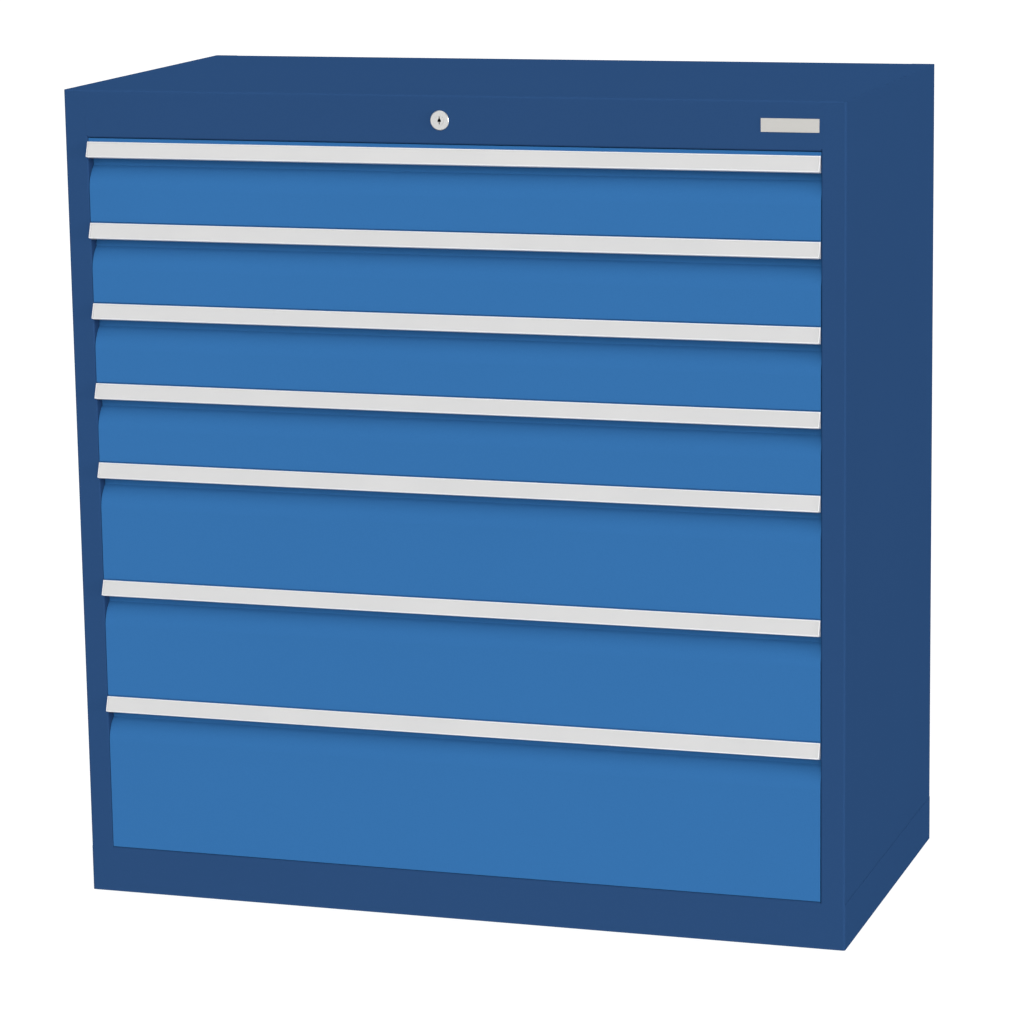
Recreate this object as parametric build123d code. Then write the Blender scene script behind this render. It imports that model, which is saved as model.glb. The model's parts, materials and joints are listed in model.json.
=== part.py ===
from build123d import *
import math
import os

# Drawer cabinet: seven drawers on differential roller slides in a folded sheet-steel
# carcass on a plinth, with a central lock in the header.
# Millimetres. +X right, +Y to the back, +Z up. The front faces -Y.
# Origin: bottom centre of the whole object, pull strips included.

# ---------------------------------------------------------------- driving sizes
W = 980.0                 # carcass width
D = 500.0                 # carcass depth, without the pull strips
H = 1019.0                # height over the top panel
PULL = 8.46              # how far the rounded lower edge of the pull strip stands in front of the face
YF = -(D + PULL) / 2 + PULL   # front plane of the carcass, so that the object is centred in Y

T_SKIN = 1.5              # carcass sheet
T_FRONT = 1.2             # drawer front sheet
T_BOX = 1.2               # drawer box sheet
R_IN = 1.0                # inner bend radius

PLINTH_H = 57.0
PLINTH_T = 2.0
PLINTH_OUT = 0.5          # plinth stands this much outside the side panels
PLINTH_FLANGE = 36.0
ANCHOR_R = 5.5
ANCHOR_X = 468.0          # anchor holes at +-X
ANCHOR_Y = 190.0          # and +-Y about the carcass middle

OPEN_HALF = 460.5         # half width of the drawer opening
OPEN_Z0 = 58.2
OPEN_Z1 = 960.7
STILE_RETURN = 27.5

PITCH = [100.0, 100.0, 100.0, 100.0, 150.0, 150.0, 200.0]
ROW_TOP = 956.7           # top of the first row
ROW_GAP = 0.4
LAST_BOTTOM = 58.8
FIRST_RISE = 3.3          # the first front stands this much higher, up to the header
FRONT_HALF = 460.0
FRONT_DEEP = 16.2
SCOOP_LOW = 42.9          # corner between the face and the finger scoop, below a front's top edge
SCOOP_HIGH = 31.6
SCOOP_R = 32.8            # the scoop rolls in on a large bend

STRIP_TOP = (-1.8, 0.6)    # pull strip's upper outer edge: y, and depth below the row's top
STRIP_LOW = (-8.6, 19.0)
STRIP_T = 3.0
CAP_T = 1.2                # end caps of the pull strip

BOX_HALF = 441.0          # outside of the drawer box
BOX_Y1 = 419.2            # back of the drawer box
BOX_LIFT = 5.0            # box floor above the front's lower edge
BOX_LESS = 25.0           # usable height is the front's grid height less this
SLOT_PITCH = 50.0

UPR_FACE = 461.5          # inner face of the slotted uprights
UPR_DEEP = 30.0
UPR_Y = (28.5, 430.0)
RAIL_HALF = 16.0          # half height of the slide rails
RAIL_T = 1.5
RAIL_UP = 30.0            # slide axis above the box floor
CAB_RAIL_Y = (28.0, 456.0)
DRW_RAIL_Y = (28.0, 419.0)
CAR_Y = (31.0, 430.0)
ROLL_R = 14.2
ROLL_OUT_Y = (260.0, 410.0)
ROLL_IN_Y = (50.0, 200.0)
TRAVEL = 400.0            # full pull-out; the carriage runs half of it

LOCK_X = -3.7             # the lock stands a little left of the middle
LOCK_Z = 989.3
CRANK_R = 10.0
BAR_Y = (462.0, 465.0)

PLATE_X = (388.8, 458.3)
PLATE_Z = (982.5, 998.4)


# ---------------------------------------------------------------- helpers
def bx(x0, x1, y0, y1, z0, z1):
    """Box between limits; y is measured from the carcass front plane."""
    return Pos((x0 + x1) / 2, YF + (y0 + y1) / 2, (z0 + z1) / 2) * Box(x1 - x0, y1 - y0, z1 - z0)


def rod(axis, centre, r, a, b):
    """Cylinder from a to b along an axis; y is measured from the front plane."""
    x, y, z = centre
    n = b - a
    if axis == "x":
        return Pos((a + b) / 2, YF + y, z) * Rot(0, 90, 0) * Cylinder(r, n)
    if axis == "y":
        return Pos(x, YF + (a + b) / 2, z) * Rot(90, 0, 0) * Cylinder(r, n)
    return Pos(x, YF + y, (a + b) / 2) * Cylinder(r, n)


def face2d(pts, radii, place):
    """Closed face through 2-D points with a rounded corner where its radius is not zero."""
    n = len(pts)
    ins, outs, mids = [], [], []
    for i in range(n):
        p, q, s = pts[i - 1], pts[i], pts[(i + 1) % n]
        r = radii[i]
        if r <= 0:
            ins.append(q), outs.append(q), mids.append(None)
            continue
        a = (q[0] - p[0], q[1] - p[1])
        b = (s[0] - q[0], s[1] - q[1])
        la, lb = math.hypot(*a), math.hypot(*b)
        a = (a[0] / la, a[1] / la)
        b = (b[0] / lb, b[1] / lb)
        turn = math.acos(max(-1.0, min(1.0, a[0] * b[0] + a[1] * b[1])))
        k = r * math.tan(turn / 2)
        p1 = (q[0] - a[0] * k, q[1] - a[1] * k)
        p2 = (q[0] + b[0] * k, q[1] + b[1] * k)
        m = (b[0] - a[0], b[1] - a[1])
        lm = math.hypot(*m)
        far = r / math.cos(turn / 2)
        c = (q[0] + m[0] / lm * far, q[1] + m[1] / lm * far)
        mid = (c[0] - m[0] / lm * r, c[1] - m[1] / lm * r)
        ins.append(p1), outs.append(p2), mids.append(mid)
    edges = []
    for i in range(n):
        if mids[i] is not None:
            edges.append(ThreePointArc(place(ins[i]), place(mids[i]), place(outs[i])))
        j = (i + 1) % n
        if math.dist(outs[i], ins[j]) > 1e-6:
            edges.append(Line(place(outs[i]), place(ins[j])))
    return Face(Wire(edges))


def sheet(pts, t, side, r_in=R_IN, bends=None):
    """Outline of a folded sheet: pts is one surface, t its thickness, on the left or right of the way
    the points run. bends may give an inner radius for a corner, by its index, or (inner, outer)."""
    s = 1.0 if side == "left" else -1.0
    n = len(pts)
    dirs = []
    for i in range(n - 1):
        d = (pts[i + 1][0] - pts[i][0], pts[i + 1][1] - pts[i][1])
        k = math.hypot(*d)
        dirs.append((d[0] / k, d[1] / k))
    off = []
    for i in range(n):
        if i == 0 or i == n - 1:
            d = dirs[0] if i == 0 else dirs[-1]
            off.append((pts[i][0] - d[1] * s * t, pts[i][1] + d[0] * s * t))
            continue
        a, b = dirs[i - 1], dirs[i]
        na, nb = (-a[1] * s, a[0] * s), (-b[1] * s, b[0] * s)
        k = t / (1 + na[0] * nb[0] + na[1] * nb[1])
        off.append((pts[i][0] + (na[0] + nb[0]) * k, pts[i][1] + (na[1] + nb[1]) * k))
    rad, rad_off = [0.0], [0.0]
    for i in range(1, n - 1):
        a, b = dirs[i - 1], dirs[i]
        cross = a[0] * b[1] - a[1] * b[0]
        r = (bends or {}).get(i, r_in)
        ri, ro = r if isinstance(r, tuple) else (r, r + t)
        inner_is_offset = (cross > 0) == (side == "left")
        rad.append(ro if inner_is_offset else ri)
        rad_off.append(ri if inner_is_offset else ro)
    rad.append(0.0), rad_off.append(0.0)
    return pts + off[::-1], rad + rad_off[::-1]


def along_x(outline, x0, x1):
    pts, radii = outline
    f = face2d(pts, radii, lambda p: (x0, YF + p[0], p[1]))
    return extrude(f, amount=x1 - x0, dir=(1, 0, 0))


def along_y(outline, y0, y1):
    pts, radii = outline
    f = face2d(pts, radii, lambda p: (p[0], YF + y0, p[1]))
    return extrude(f, amount=y1 - y0, dir=(0, 1, 0))


def along_z(outline, z0, z1):
    pts, radii = outline
    f = face2d(pts, radii, lambda p: (p[0], YF + p[1], z0))
    return extrude(f, amount=z1 - z0, dir=(0, 0, 1))


def solids_of(shape):
    return list(shape.solids()) if not isinstance(shape, (list, tuple)) else [
        s for x in shape for s in x.solids()]


os.makedirs("parts", exist_ok=True)
written = {}


def put(name, shapes):
    found = solids_of(shapes if isinstance(shapes, (list, tuple)) else [shapes])
    if len(found) == 1:
        export_step(found[0], f"parts/{name}.step")
    else:
        export_step(Compound(children=found), f"parts/{name}.step")
    written[name] = found
    return found


def mirror_x(shape):
    return mirror(shape, about=Plane.YZ)


# ---------------------------------------------------------------- drawer rows
tops, bottoms = [], []
at = ROW_TOP
for n, p in enumerate(PITCH):
    tops.append(at)
    at -= p
    bottoms.append(at + ROW_GAP if n < len(PITCH) - 1 else LAST_BOTTOM)
floors = [b + BOX_LIFT for b in bottoms]
box_tops = [f + p - BOX_LESS + T_BOX for f, p in zip(floors, PITCH)]
rail_z = [f + RAIL_UP for f in floors]
catch_z = [t - 16.0 for t in box_tops]

# ---------------------------------------------------------------- plinth
px = W / 2 + PLINTH_OUT
outer, no_r = [(-px, 0.0), (px, 0.0), (px, D), (-px, D)], [3.0, 3.0, 3.0, 3.0]
plinth = along_z((outer, no_r), 0.0, PLINTH_H)
plinth -= bx(-px + PLINTH_T, px - PLINTH_T, PLINTH_T, D - PLINTH_T, PLINTH_T, PLINTH_H - PLINTH_T)
k = PLINTH_T + PLINTH_FLANGE
plinth -= bx(-px + k, px - k, k, D - k, -1.0, PLINTH_H + 1.0)
for sx in (-1, 1):
    for sy in (-1, 1):
        plinth -= rod("z", (sx * ANCHOR_X, D / 2 + sy * ANCHOR_Y, 0), ANCHOR_R, -1.0, PLINTH_T + 1.0)
put("plinth_frame", plinth)

# ---------------------------------------------------------------- side panels
left_path = [(-OPEN_HALF, STILE_RETURN), (-OPEN_HALF, 0.0), (-W / 2, 0.0), (-W / 2, D), (-OPEN_HALF, D)]
left_side = along_z(sheet(left_path, T_SKIN, "right", bends={1: 0.5}), PLINTH_H, H)
REAR_RIVET_Z = [90.0 + 174.0 * i for i in range(6)]
REAR_RIVET_X = 474.0
for z in REAR_RIVET_Z:
    left_side -= rod("y", (-REAR_RIVET_X, 0, z), 2.1, D - 4.0, D + 1.0)
left_side -= bx(-OPEN_HALF - 2.05, -OPEN_HALF + 1.0, -1.0, STILE_RETURN + 1.0, OPEN_Z1 + 2.6, H + 1.0)
left_side -= bx(-W / 2 + 2.55, -OPEN_HALF + 1.0, -1.0, 2.4, H - 2.6, H + 1.0)
right_side = mirror_x(left_side)
put("left_side_panel", left_side)
put("right_side_panel", right_side)

# ---------------------------------------------------------------- top panel with the header folded down
TOP_HALF = W / 2 - 2.6
top_path = [(25.0, OPEN_Z1), (0.0, OPEN_Z1), (0.0, H), (D, H), (D, H - 30.0)]
top = along_x(sheet(top_path, T_SKIN, "right"), -TOP_HALF, TOP_HALF)
wing_x = W / 2 - T_SKIN - 0.1
for s in (-1, 1):
    a, b = sorted((s * (OPEN_HALF + 2.0), s * (TOP_HALF + 1.0)))
    top -= bx(a, b, -1.0, 30.0, OPEN_Z1 - 1.0, H - 2.55)          # stile below the top bend
    a, b = sorted((s * (OPEN_HALF - 0.2), s * (OPEN_HALF + 3.0)))
    top -= bx(a, b, -1.0, 30.0, OPEN_Z1 - 1.0, OPEN_Z1 + 2.65)    # header's lower flange between the stiles
    a, b = sorted((s * (OPEN_HALF - 0.2), s * (TOP_HALF + 1.0)))
    top -= bx(a, b, D - 2.6, D + 1.0, H - 40.0, H + 1.0)          # rear flange between the side panels' flanges
    a, b = sorted((s * (TOP_HALF - 5.0), s * wing_x))
    top += bx(a, b, T_SKIN + R_IN + 0.1, D - T_SKIN - R_IN - 0.1, H - T_SKIN, H)
    a, b = sorted((s * (wing_x - T_SKIN), s * wing_x))
    top += bx(a, b, 24.0, D - 8.0, H - 22.0, H)
top -= rod("y", (LOCK_X, 0, LOCK_Z), 9.65, -5.0, 5.0)
put("top_panel", top)

# ---------------------------------------------------------------- back and bottom panels
back = bx(-487.3, 487.3, D - 2.8, D - 1.6, 60.0, 987.0)
for z in REAR_RIVET_Z:
    for s in (-1, 1):
        back -= rod("y", (s * REAR_RIVET_X, 0, z), 2.1, D - 4.0, D + 1.0)
put("back_panel", back)
bottom = bx(-487.3, 487.3, 28.0, D - 3.2, PLINTH_H, OPEN_Z0)
bottom += bx(-OPEN_HALF + 0.3, OPEN_HALF - 0.3, 0.3, 29.0, PLINTH_H, OPEN_Z0)
put("bottom_panel", bottom)
rivets = []
for z in REAR_RIVET_Z:
    for s in (-1, 1):
        r = rod("y", (s * REAR_RIVET_X, 0, z), 2.0, D - 4.0, D)
        rivets.append(r + rod("y", (s * REAR_RIVET_X, 0, z), 4.0, D - 4.1, D - 2.8))
put("back_panel_rivets", rivets)

# ---------------------------------------------------------------- slotted uprights and cabinet rails
uprights, rail_rivets, cab_rails = [], [], []
RIVET_DY = (9.0, 15.0)
for n, y0 in enumerate(UPR_Y):
    path = [(UPR_FACE + 26.9, y0), (UPR_FACE, y0), (UPR_FACE, y0 + UPR_DEEP), (UPR_FACE + 26.9, y0 + UPR_DEEP)]
    u = along_z(sheet(path, RAIL_T, "right"), OPEN_Z0, 985.0)
    cuts = [bx(UPR_FACE - 2, UPR_FACE + 4, y0 + 21.5, y0 + 25.5, z, z + 18.0)
            for z in [80.0 + 50.0 * i for i in range(18)]]
    cuts += [rod("x", (0, y0 + RIVET_DY[n], z), 2.6, UPR_FACE - 2, UPR_FACE + 4) for z in rail_z]
    u -= Compound(children=cuts)
    uprights += [u, mirror_x(u)]
    for z in rail_z:
        c = (0, y0 + RIVET_DY[n], z)
        r = rod("x", c, 2.5, UPR_FACE - 1.5, UPR_FACE + 1.5)
        r += rod("x", c, 4.5, UPR_FACE - 2.7, UPR_FACE - 1.5)
        r += rod("x", c, 4.0, UPR_FACE + 1.5, UPR_FACE + 2.8)
        rail_rivets += [r, mirror_x(r)]
put("slotted_uprights", uprights)
put("rail_rivets", rail_rivets)
for z in rail_z:
    path = [(UPR_FACE - 8.5, z + RAIL_HALF), (UPR_FACE, z + RAIL_HALF),
            (UPR_FACE, z - RAIL_HALF), (UPR_FACE - 8.5, z - RAIL_HALF)]
    c = along_y(sheet(path, RAIL_T, "right", r_in=0.5), *CAB_RAIL_Y)
    for n, y0 in enumerate(UPR_Y):
        c -= rod("x", (0, y0 + RIVET_DY[n], z), 2.6, UPR_FACE - 4, UPR_FACE + 2)
    cab_rails += [c, mirror_x(c)]
put("cabinet_rails", cab_rails)

# ---------------------------------------------------------------- drawers
A = (STRIP_TOP[0], -STRIP_TOP[1])
B = (STRIP_LOW[0], -STRIP_LOW[1])
slant = math.dist(A, B)
sd = ((B[0] - A[0]) / slant, (B[1] - A[1]) / slant)      # down the slope
sn = (sd[1], -sd[0])                                      # out of the slope
A1 = (A[0] - sn[0] * STRIP_T, A[1] - sn[1] * STRIP_T)     # strip's back, upper end


def on_slope(s, n):
    return (A1[0] + sd[0] * s + sn[0] * n, A1[1] + sd[1] * s + sn[1] * n)


TIP = slant - 1.5
up = -A1[1] / -sd[1]
Q5 = (A1[0] - sd[0] * up, 0.0)


def front_panel(zt, z0, rise):
    tip = on_slope(TIP, 0.0)
    path = [(FRONT_DEEP - 0.1, z0 + T_FRONT), (T_FRONT, z0 + T_FRONT), (T_FRONT, zt - SCOOP_LOW),
            (FRONT_DEEP, zt - SCOOP_HIGH), (FRONT_DEEP, zt + rise), (Q5[0], zt + rise)]
    bends = {1: (0.2, 0.5), 2: SCOOP_R, 3: 2.0, 4: 2.0, 5: (0.2, 0.6)}
    if rise:
        path.append((Q5[0], zt))
        bends[6] = 1.0
    path.append((tip[0], zt + tip[1]))
    f = along_x(sheet(path, T_FRONT, "left", bends=bends), -FRONT_HALF, FRONT_HALF)
    for s in (-1, 1):                                     # room for the strip's end caps
        a, b = sorted((s * (FRONT_HALF - CAP_T - 0.05), s * (FRONT_HALF + 1.0)))
        f -= bx(a, b, -30.0, 0.0, zt - 30.0, zt - 0.5)
    h = T_FRONT / 2
    cheek = [(h, z0 + h), (FRONT_DEEP - 0.1, z0 + h), (FRONT_DEEP - 0.1, zt - SCOOP_HIGH),
             (FRONT_DEEP - h, zt - SCOOP_HIGH), (h, zt - SCOOP_LOW)]
    radii = [0.3, 0, 0, 0, SCOOP_R + h]
    f += along_x((cheek, radii), -FRONT_HALF, -FRONT_HALF + T_FRONT)
    f += along_x((cheek, radii), FRONT_HALF - T_FRONT, FRONT_HALF)
    return f


STRIP_PROFILE = [((0.0, 0.0), 0), ((0.0, 3.0), 0.5), ((1.5, 3.0), 0.2), ((1.5, 2.45), 0), ((0.7, 2.45), 0), ((0.7, 1.6), 0),
                 ((slant - 0.7, 1.6), 0), ((slant - 0.7, 2.45), 0), ((slant - 1.5, 2.45), 0), ((slant - 1.5, 3.0), 0.2),
                 ((slant, 3.0), 0.5), ((slant, -2.6), 1.0), ((slant - 4.5, -2.6), 0), ((slant - 4.5, -1.4), 0),
                 ((slant - 1.3, -1.4), 0), ((slant - 1.3, 0.0), 0)]


def placed(profile, zt):
    pts = []
    for (s, n), r in profile:
        y, z = on_slope(s, n)
        pts.append((y, zt + z))
    return pts, [r for _, r in profile]


# end cap: closes the wedge between the slanted strip and the plane of the front
CAP_PROFILE = [(A, 0.3), (B, 0.9), ((-0.05, B[1] + B[0] * 0.2144), 0.5), ((-0.05, A[1] + (A[0] + 0.05) / -sn[0] * sn[1]), 0)]
INSERT_PROFILE = [((0.8, 1.62), 0), ((slant - 0.8, 1.62), 0), ((slant - 0.8, 2.4), 0), ((0.8, 2.4), 0)]

for i in range(len(PITCH)):
    name = f"drawer_{i + 1}"
    zt, z0, zf, zb1, zr, zc = tops[i], bottoms[i], floors[i], box_tops[i], rail_z[i], catch_z[i]
    put(f"{name}_front", front_panel(zt, z0, FIRST_RISE if i == 0 else 0.0))
    rail = along_x(placed(STRIP_PROFILE, zt), -FRONT_HALF + CAP_T, FRONT_HALF - CAP_T)
    cap = along_x(([(y, zt + z) for (y, z), _ in CAP_PROFILE], [r for _, r in CAP_PROFILE]), FRONT_HALF - CAP_T, FRONT_HALF)
    put(f"{name}_label_rail", [rail, cap, mirror_x(cap)])
    put(f"{name}_label_insert", along_x(placed(INSERT_PROFILE, zt), -FRONT_HALF + CAP_T + 0.2, FRONT_HALF - CAP_T - 0.2))

    # box: folded trough with lips, closed by two end walls, slotted for partitions
    e = BOX_HALF
    path = [(-e - 6.0, zb1), (-e, zb1), (-e, zf), (e, zf), (e, zb1), (e + 6.0, zb1)]
    trough = along_y(sheet(path, T_BOX, "left", bends={1: 0.4, 4: 0.4}), FRONT_DEEP, BOX_Y1)
    in0, in1 = FRONT_DEEP, FRONT_DEEP + T_BOX
    m = e - 0.8
    box = trough + bx(-m, m, in0, in1, zf + 0.8, zb1)
    box += bx(-m, m, BOX_Y1 - T_BOX, BOX_Y1, zf + 0.8, zb1)
    box += bx(-m, m, BOX_Y1 - T_BOX, BOX_Y1 + 6.0, zb1 - T_BOX, zb1)
    lo, hi = zf + 14.0, zb1 - 14.0
    cuts = [bx(x - 1.6, x + 1.6, 10.0, BOX_Y1 + 1.0, lo, hi) for x in [SLOT_PITCH * j for j in range(-8, 9)]]
    cuts += [bx(-e - 1.0, e + 1.0, y - 1.6, y + 1.6, lo, hi) for y in [44.0 + SLOT_PITCH * j for j in range(8)]]
    box -= Compound(children=cuts)
    box += bx(LOCK_X - 12.0, LOCK_X + 12.0, BOX_Y1 - 0.6, 452.0, zc, zc + 2.0)
    box += bx(LOCK_X - 12.0, LOCK_X + 12.0, 450.0, 452.0, zc - 12.0, zc + 1.0)
    put(f"{name}_box", box)

    # rail on the drawer's side
    path = [(e + 8.5, zr + RAIL_HALF), (e, zr + RAIL_HALF), (e, zr - RAIL_HALF), (e + 8.5, zr - RAIL_HALF)]
    r = along_y(sheet(path, RAIL_T, "left", r_in=0.5), *DRW_RAIL_Y)
    put(f"{name}_runners", [r, mirror_x(r)])

    # carriage: a bar with two rollers in the cabinet rail and two in the drawer rail
    p0, p1 = UPR_FACE - 11.25, UPR_FACE - 9.25
    bar = bx(p0, p1, CAR_Y[0], CAR_Y[1], zr - 14.0, zr + 14.0)
    rollers = []
    for y in ROLL_OUT_Y:
        bar += rod("x", (0, y, zr), 4.0, p1 - 0.5, UPR_FACE - 1.8)
        w = rod("x", (0, y, zr), ROLL_R, p1 + 0.4, UPR_FACE - 2.0)
        rollers.append(w - rod("x", (0, y, zr), 4.1, p1, UPR_FACE))
    for y in ROLL_IN_Y:
        bar += rod("x", (0, y, zr), 4.0, e + 1.8, p0 + 0.5)
        w = rod("x", (0, y, zr), ROLL_R, e + 2.0, p0 - 0.4)
        rollers.append(w - rod("x", (0, y, zr), 4.1, e, p0))
    one = [bar] + rollers
    put(f"{name}_carriages", one + [mirror_x(s) for s in one])

# ---------------------------------------------------------------- lock
LX = LOCK_X
AXIS = (LX, 0, LOCK_Z)
housing = rod("y", AXIS, 11.7, -2.6, 0.0)
housing = chamfer(housing.edges().sort_by(Axis.Y)[0], 0.8)
housing += rod("y", AXIS, 9.5, -0.5, 20.0)
housing -= rod("y", AXIS, 5.6, -5.0, 25.0)
put("lock_housing", housing)

nut = Pos(LX, YF + 3.8, LOCK_Z) * Rot(90, 0, 0) * extrude(RegularPolygon(13.5, 6), amount=2.2, both=True)
nut -= rod("y", AXIS, 9.6, 0.0, 8.0)
put("lock_nut", nut)

core = rod("y", AXIS, 5.5, -2.9, 24.0)
core += rod("y", AXIS, 8.0, 20.3, 24.0)
core -= bx(LX - 0.5, LX + 0.5, -4.0, 12.0, LOCK_Z - 4.6, LOCK_Z + 5.0)
key = [(LX - 2.2, LOCK_Z - 1.7), (LX + 2.2, LOCK_Z - 1.7), (LX + 2.2, LOCK_Z - 0.2), (LX + 0.9, LOCK_Z + 2.4),
       (LX - 0.9, LOCK_Z + 2.4), (LX - 2.2, LOCK_Z - 0.2)]
core -= along_y((key, [0.4] * 6), -4.0, 12.0)
put("lock_core", core)

cr = CRANK_R * math.sqrt(0.5)
k = 6.5 * math.sqrt(0.5)
shaft = rod("y", AXIS, 4.0, 24.0, 458.0)
corners = [(LX - cr - k - 3.0, LOCK_Z - cr + k - 3.0), (LX - cr + k - 3.0, LOCK_Z - cr - k - 3.0),
           (LX + k + 2.5, LOCK_Z - k + 2.5), (LX - k + 2.5, LOCK_Z + k + 2.5)]
shaft += along_y((corners, [3.0, 3.0, 3.0, 3.0]), 457.0, 460.0)
shaft += rod("y", (LX - cr, 0, LOCK_Z - cr), 3.0, 459.0, 467.0)
put("lock_shaft", shaft)

bearing = bx(LX - 15.0, LX + 15.0, 446.0, 449.0, 978.0, H - T_SKIN)
bearing += bx(LX - 15.0, LX + 15.0, 426.0, 449.0, H - T_SKIN - 2.0, H - T_SKIN)
bearing -= rod("y", AXIS, 4.15, 440.0, 455.0)
put("shaft_bearing", bearing)

bar = bx(LX - 15.0, LX + 15.0, BAR_Y[0], BAR_Y[1], 90.0, 996.0)
bar += bx(LX - 22.0, LX + 15.0, BAR_Y[0], BAR_Y[1], 971.0, 996.0)
zs = LOCK_Z - cr
bar -= bx(LX - 10.6, LX - 6.6, BAR_Y[0] - 1, BAR_Y[1] + 1, zs - 3.7, zs + 3.7)
bar -= rod("y", (LX - 10.6, 0, zs), 3.7, BAR_Y[0] - 1, BAR_Y[1] + 1)
bar -= rod("y", (LX - 6.6, 0, zs), 3.7, BAR_Y[0] - 1, BAR_Y[1] + 1)
for zc in catch_z:
    bar += bx(LX - 10.0, LX + 10.0, 444.5, BAR_Y[0] + 1.0, zc - 29.0, zc - 27.0)
    bar += bx(LX - 10.0, LX + 10.0, 444.5, 446.5, zc - 28.0, zc - 15.0)
put("lock_bar", bar)

guides = []
for z in (100.0, 944.0):
    g = bx(LX - 22.0, LX + 22.0, 458.5, D - 2.8, z, z + 18.0)
    g -= bx(LX - 15.5, LX + 15.5, BAR_Y[0] - 0.5, BAR_Y[1] + 0.5, z - 1, z + 19.0)
    g -= bx(LX - 19.5, LX + 19.5, BAR_Y[1] + 3.0, D - 5.8, z - 1, z + 19.0)
    guides.append(g)
put("lock_bar_guides", guides)

put("nameplate", bx(PLATE_X[0], PLATE_X[1], -1.0, 0.0, PLATE_Z[0], PLATE_Z[1]))

whole = Compound(children=[s for found in written.values() for s in found]).bounding_box()
print("nodes", len(written), "solids", sum(len(s) for s in written.values()))
print("box", [round(v, 3) for v in (whole.min.X, whole.min.Y, whole.min.Z, whole.max.X, whole.max.Y, whole.max.Z)])
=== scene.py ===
import json
import math

import bmesh
import bpy
from mathutils import Matrix, Vector


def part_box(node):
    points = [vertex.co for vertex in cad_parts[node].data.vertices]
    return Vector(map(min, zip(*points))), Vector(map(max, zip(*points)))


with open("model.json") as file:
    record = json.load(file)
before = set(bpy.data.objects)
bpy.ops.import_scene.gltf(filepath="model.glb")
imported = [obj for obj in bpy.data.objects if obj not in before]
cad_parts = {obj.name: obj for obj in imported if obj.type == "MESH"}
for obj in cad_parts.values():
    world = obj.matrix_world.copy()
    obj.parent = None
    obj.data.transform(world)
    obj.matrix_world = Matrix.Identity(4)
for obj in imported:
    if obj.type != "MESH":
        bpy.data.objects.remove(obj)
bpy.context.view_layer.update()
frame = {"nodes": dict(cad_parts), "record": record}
NODES = frame["nodes"]
scene = bpy.context.scene

# ------------------------------------------------------------------ camera
FRONT_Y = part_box("plinth_frame")[0].y          # front plane of the carcass
CAM_AT = Vector((1.4883773300, FRONT_Y - 4.3641422600, 1.4498598000))
RIGHT = Vector((0.9524125830, 0.3044523210, -0.0148005440))
DOWN = Vector((0.0468064070, -0.1940588210, -0.9798726110))
AHEAD = Vector((-0.3011966670, 0.9325502440, -0.1990743820))
cam_data = bpy.data.cameras.new("camera")
cam_data.sensor_width = 36.0
cam_data.lens = 3880.3326 / 1024.0 * 36.0
cam_data.clip_start, cam_data.clip_end = 0.05, 100.0
camera = bpy.data.objects.new("camera", cam_data)
scene.collection.objects.link(camera)
rot = Matrix((RIGHT, -DOWN, -AHEAD)).transposed()
camera.matrix_world = Matrix.Translation(CAM_AT) @ rot.to_4x4()
scene.camera = camera

scene.view_settings.view_transform = "Standard"
scene.view_settings.look = "None"
scene.view_settings.exposure = 0.0
scene.view_settings.gamma = 1.0


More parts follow.
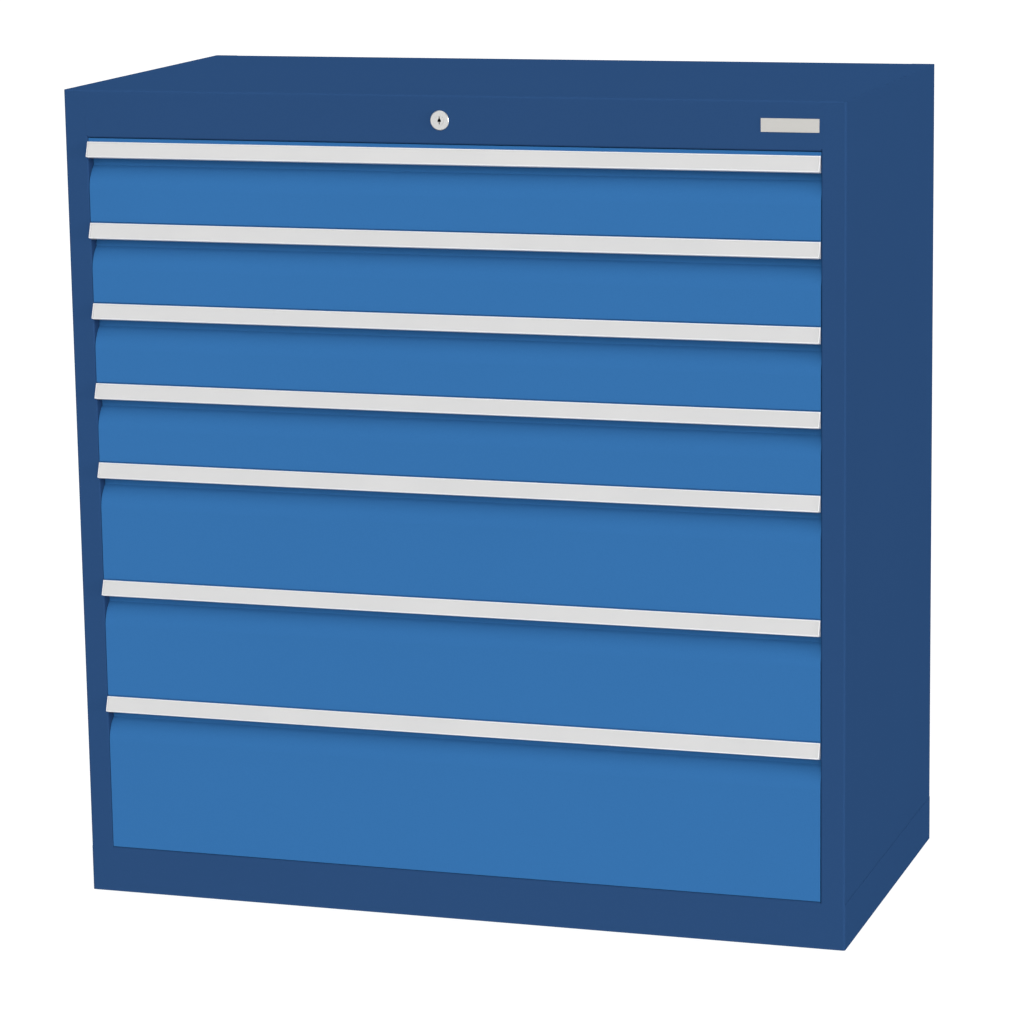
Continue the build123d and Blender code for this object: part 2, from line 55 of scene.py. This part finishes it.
# ------------------------------------------------------------------ node helpers
class Mat:
    """A small wrapper to write node trees compactly."""

    def __init__(self, name):
        self.m = bpy.data.materials.new(name)
        self.m.use_nodes = True
        self.t = self.m.node_tree
        self.t.nodes.clear()
        self.out = self.t.nodes.new("ShaderNodeOutputMaterial")
        self.b = self.t.nodes.new("ShaderNodeBsdfPrincipled")
        self.t.links.new(self.b.outputs[0], self.out.inputs[0])
        self.geo = self.t.nodes.new("ShaderNodeTexCoord")

    def link(self, a, b):
        self.t.links.new(a, b)

    def node(self, kind, **props):
        n = self.t.nodes.new(kind)
        for k, v in props.items():
            setattr(n, k, v)
        return n

    def at(self, scale=(1, 1, 1)):
        mp = self.node("ShaderNodeMapping")
        mp.inputs["Scale"].default_value = scale
        self.link(self.geo.outputs["Object"], mp.inputs["Vector"])
        return mp.outputs[0]

    def noise(self, scale, detail=2.0, rough=0.5, vec=None, distort=0.0):
        n = self.node("ShaderNodeTexNoise")
        n.inputs["Scale"].default_value = scale
        n.inputs["Detail"].default_value = detail
        n.inputs["Roughness"].default_value = rough
        n.inputs["Distortion"].default_value = distort
        self.link(vec or self.geo.outputs["Object"], n.inputs["Vector"])
        return n.outputs["Fac"]

    def remap(self, value, lo, hi, a=0.0, b=1.0):
        n = self.node("ShaderNodeMapRange")
        n.inputs["From Min"].default_value = lo
        n.inputs["From Max"].default_value = hi
        n.inputs["To Min"].default_value = a
        n.inputs["To Max"].default_value = b
        self.link(value, n.inputs["Value"])
        return n.outputs[0]

    def math(self, op, a, b=None):
        n = self.node("ShaderNodeMath", operation=op)
        for i, v in enumerate((a, b)):
            if v is None:
                continue
            if isinstance(v, (int, float)):
                n.inputs[i].default_value = v
            else:
                self.link(v, n.inputs[i])
        return n.outputs[0]

    def mix(self, fac, a, b, kind="MIX"):
        n = self.node("ShaderNodeMix", data_type="RGBA", blend_type=kind)
        fac_in = [s for s in n.inputs if s.name == "Factor" and s.type == "VALUE"][0]
        a_in = [s for s in n.inputs if s.name == "A" and s.type == "RGBA"][0]
        b_in = [s for s in n.inputs if s.name == "B" and s.type == "RGBA"][0]
        for sock, v in ((fac_in, fac), (a_in, a), (b_in, b)):
            if isinstance(v, (int, float)):
                sock.default_value = v
            elif isinstance(v, (tuple, list)):
                sock.default_value = (*v[:3], 1.0)
            else:
                self.link(v, sock)
        return [s for s in n.outputs if s.type == "RGBA"][0]

    def bump(self, height, distance, strength=1.0, normal=None):
        n = self.node("ShaderNodeBump")
        n.inputs["Distance"].default_value = distance
        n.inputs["Strength"].default_value = strength
        self.link(height, n.inputs["Height"])
        if normal is not None:
            self.link(normal, n.inputs["Normal"])
        return n.outputs[0]

    def set(self, **values):
        for k, v in values.items():
            self.b.inputs[k.replace("_", " ")].default_value = v

    def into(self, socket, out):
        self.link(out, self.b.inputs[socket])


def powder_coat(name, rgb, specular, rough, lift=0.05, grain=1.0):
    """Powder coat: orange-peel skin, faint cloudiness in the colour, a little more sheen in places."""
    m = Mat(name)
    cloud = m.noise(2.3, 3.0, 0.55)
    fleck = m.noise(900.0, 1.0, 0.4)
    c1 = tuple(v * (1 - lift) for v in rgb)
    c2 = tuple(v * (1 + lift) for v in rgb)
    base = m.mix(m.remap(cloud, 0.3, 0.7), c1, c2)
    m.into("Base Color", m.mix(m.remap(fleck, 0.35, 0.75, 0.0, 0.16), base, tuple(min(1.0, v * 1.35 + 0.004) for v in rgb)))
    m.set(Specular_IOR_Level=specular)
    m.into("Roughness", m.math("ADD", m.remap(m.noise(7.0, 3.0), 0.3, 0.7, rough - 0.03, rough + 0.03),
                               m.remap(fleck, 0.3, 0.7, -0.02, 0.02)))
    peel = m.noise(330.0 * grain, 2.0, 0.45)
    fine = m.noise(1150.0 * grain, 1.0, 0.4)
    m.into("Normal", m.bump(m.math("ADD", m.math("MULTIPLY", peel, 0.8), m.math("MULTIPLY", fine, 0.25)), 0.00018, 0.55))
    return m.m


MATERIALS = {
    "carcass_paint": powder_coat("carcass_paint", (0.0193, 0.0568, 0.1478), 0.0, 0.55, lift=0.015),
    "front_paint": powder_coat("front_paint", (0.0288, 0.1280, 0.3225), 0.0, 0.52, lift=0.015),
    "box_paint": powder_coat("box_paint", (0.56, 0.57, 0.58), 0.2, 0.45, lift=0.015),
}


def zinc():
    m = Mat("zinc_steel")
    blotch = m.noise(38.0, 4.0, 0.6)
    spangle = m.noise(240.0, 2.0, 0.5)
    m.into("Base Color", m.mix(m.remap(blotch, 0.35, 0.7), (0.60, 0.61, 0.62), (0.71, 0.70, 0.66)))
    m.set(Metallic=1.0)
    m.into("Roughness", m.math("ADD", m.remap(blotch, 0.3, 0.7, 0.30, 0.42), m.remap(spangle, 0.3, 0.7, -0.04, 0.04)))
    streak = m.noise(60.0, 2.0, 0.5, m.at((1.0, 0.04, 1.0)))
    m.into("Normal", m.bump(m.math("ADD", m.math("MULTIPLY", spangle, 0.5), streak), 0.00006, 0.5))
    return m.m


def aluminium(name, rgb, rough, along, metallic=0.85):
    """Anodised aluminium with die lines along the extrusion."""
    m = Mat(name)
    scale = tuple(0.006 if i == along else 1.0 for i in range(3))
    lines = m.noise(2600.0, 2.0, 0.5, m.at(scale))
    cloud = m.noise(5.0, 2.0)
    m.into("Base Color", m.mix(m.remap(cloud, 0.3, 0.7), tuple(v * 0.97 for v in rgb), rgb))
    m.set(Metallic=metallic)
    m.into("Roughness", m.remap(lines, 0.3, 0.7, rough - 0.05, rough + 0.06))
    m.into("Normal", m.bump(lines, 0.00003, 0.5))
    return m.m


def card():
    m = Mat("label_card")
    fibre = m.noise(1400.0, 3.0, 0.6)
    soft = m.noise(12.0, 2.0)
    m.into("Base Color", m.mix(m.remap(soft, 0.3, 0.7), (0.510, 0.510, 0.510), (0.531, 0.529, 0.527)))
    m.set(Specular_IOR_Level=0.3)
    m.into("Roughness", m.remap(fibre, 0.3, 0.7, 0.46, 0.56))
    m.into("Normal", m.bump(fibre, 0.00004, 0.4))
    return m.m


def turned(name, rgb, rough):
    """Nickel plate over a turned face: faint fine-grained variation in tone, roughness and bump."""
    m = Mat(name)
    tiny = m.noise(700.0, 2.0)
    m.into("Base Color", m.mix(m.remap(tiny, 0.3, 0.7), tuple(v * 0.96 for v in rgb), rgb))
    m.set(Metallic=1.0)
    m.into("Roughness", m.remap(tiny, 0.3, 0.7, rough - 0.05, rough + 0.05))
    m.into("Normal", m.bump(tiny, 0.00003, 0.3))
    return m.m


# painted shade: a near-black colour standing in for the shadow deep inside the keyway
def keyway():
    m = Mat("keyway_painted_shade")
    grain = m.noise(900.0, 2.0)
    m.into("Base Color", m.mix(m.remap(grain, 0.3, 0.7), (0.004, 0.004, 0.005), (0.010, 0.010, 0.011)))
    m.set(Specular_IOR_Level=0.2)
    m.into("Roughness", m.remap(grain, 0.3, 0.7, 0.6, 0.75))
    return m.m


def black_plastic():
    m = Mat("guide_plastic")
    grain = m.noise(800.0, 2.0)
    m.into("Base Color", m.mix(m.remap(grain, 0.3, 0.7), (0.012, 0.012, 0.013), (0.022, 0.022, 0.023)))
    m.into("Roughness", m.remap(grain, 0.3, 0.7, 0.42, 0.55))
    m.into("Normal", m.bump(grain, 0.00005, 0.4))
    return m.m


MATERIALS["zinc_steel"] = zinc()
MATERIALS["rail_aluminium"] = aluminium("rail_aluminium", (0.68, 0.68, 0.69), 0.4, 0, 0.3)
MATERIALS["plate_metal"] = aluminium("plate_metal", (0.470, 0.462, 0.441), 0.45, 0, 0.6)
MATERIALS["label_card"] = card()
MATERIALS["lock_chrome"] = turned("lock_chrome", (0.64, 0.635, 0.625), 0.34)
MATERIALS["guide_plastic"] = black_plastic()

for sp in frame["record"]["subparts"]:
    node = NODES[sp["node"]]
    node.data.materials.clear()
    node.data.materials.append(MATERIALS[sp["material_slot"]])

# the keyway's walls get a near-black painted shade for the shadow inside the slot: only the core's outer faces stay
# bright
core = NODES["lock_core"]
core.data.materials.append(keyway())
core_lo, core_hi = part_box("lock_core")
mid_x, mid_z = (core_lo.x + core_hi.x) / 2, (core_lo.z + core_hi.z) / 2
for face in core.data.polygons:
    at = [core.matrix_world @ core.data.vertices[i].co for i in face.vertices]
    inside = all(abs(v.x - mid_x) < 0.0024 and abs(v.z - mid_z) < 0.0052 for v in at)
    deep = max(v.y for v in at) > core_lo.y + 0.0004
    if inside and deep and max(v.y for v in at) < core_lo.y + 0.0155:
        face.material_index = 1

# ------------------------------------------------------------------ stage
floor_mesh = bpy.data.meshes.new("floor")
bm = bmesh.new()
bmesh.ops.create_grid(bm, x_segments=2, y_segments=2, size=40.0)
bm.to_mesh(floor_mesh)
bm.free()
floor = bpy.data.objects.new("floor", floor_mesh)
scene.collection.objects.link(floor)
fm = Mat("floor_white")
fm.into("Base Color", fm.mix(fm.remap(fm.noise(0.6, 2.0), 0.3, 0.7), (0.15, 0.15, 0.15), (0.17, 0.17, 0.17)))
fm.set(Roughness=0.9, Specular_IOR_Level=0.0, Emission_Color=(1.0, 1.0, 1.0, 1.0), Emission_Strength=0.90)
floor.data.materials.append(fm.m)
floor.visible_diffuse = False      # the stage is white to the eye and sends no light up into the recesses

world = bpy.data.worlds.new("studio")
scene.world = world
world.use_nodes = True
bg = world.node_tree.nodes["Background"]
bg.inputs[0].default_value = (1.0, 1.0, 1.0, 1.0)
bg.inputs[1].default_value = 0.60


def light(kind, name, at, look, power, size=(2.0, 2.0), spread=60.0):
    d = bpy.data.lights.new(name, kind)
    d.energy = power
    if kind == "AREA":
        d.shape = "RECTANGLE"
        d.size, d.size_y = size
    else:
        d.angle = math.radians(spread)
    o = bpy.data.objects.new(name, d)
    scene.collection.objects.link(o)
    o.location = at
    o.rotation_euler = (Vector(look) - Vector(at)).to_track_quat("-Z", "Y").to_euler()
    return o


light("SUN", "key_front", (0.60, -2.61, 1.76), (0, 0, 0.5), 1.64, spread=30.0)
light("SUN", "low_front", (0.90, -2.85, 0.68), (0, 0, 0.5), 0.60, spread=40.0)
light("SUN", "side_right", (2.93, -0.55, 0.48), (0, 0, 0.5), 2.00, spread=16.0)
light("SUN", "top_soft", (0.1, 0.5, 1.5), (0, 0, 0.5), 1.50, spread=90.0)
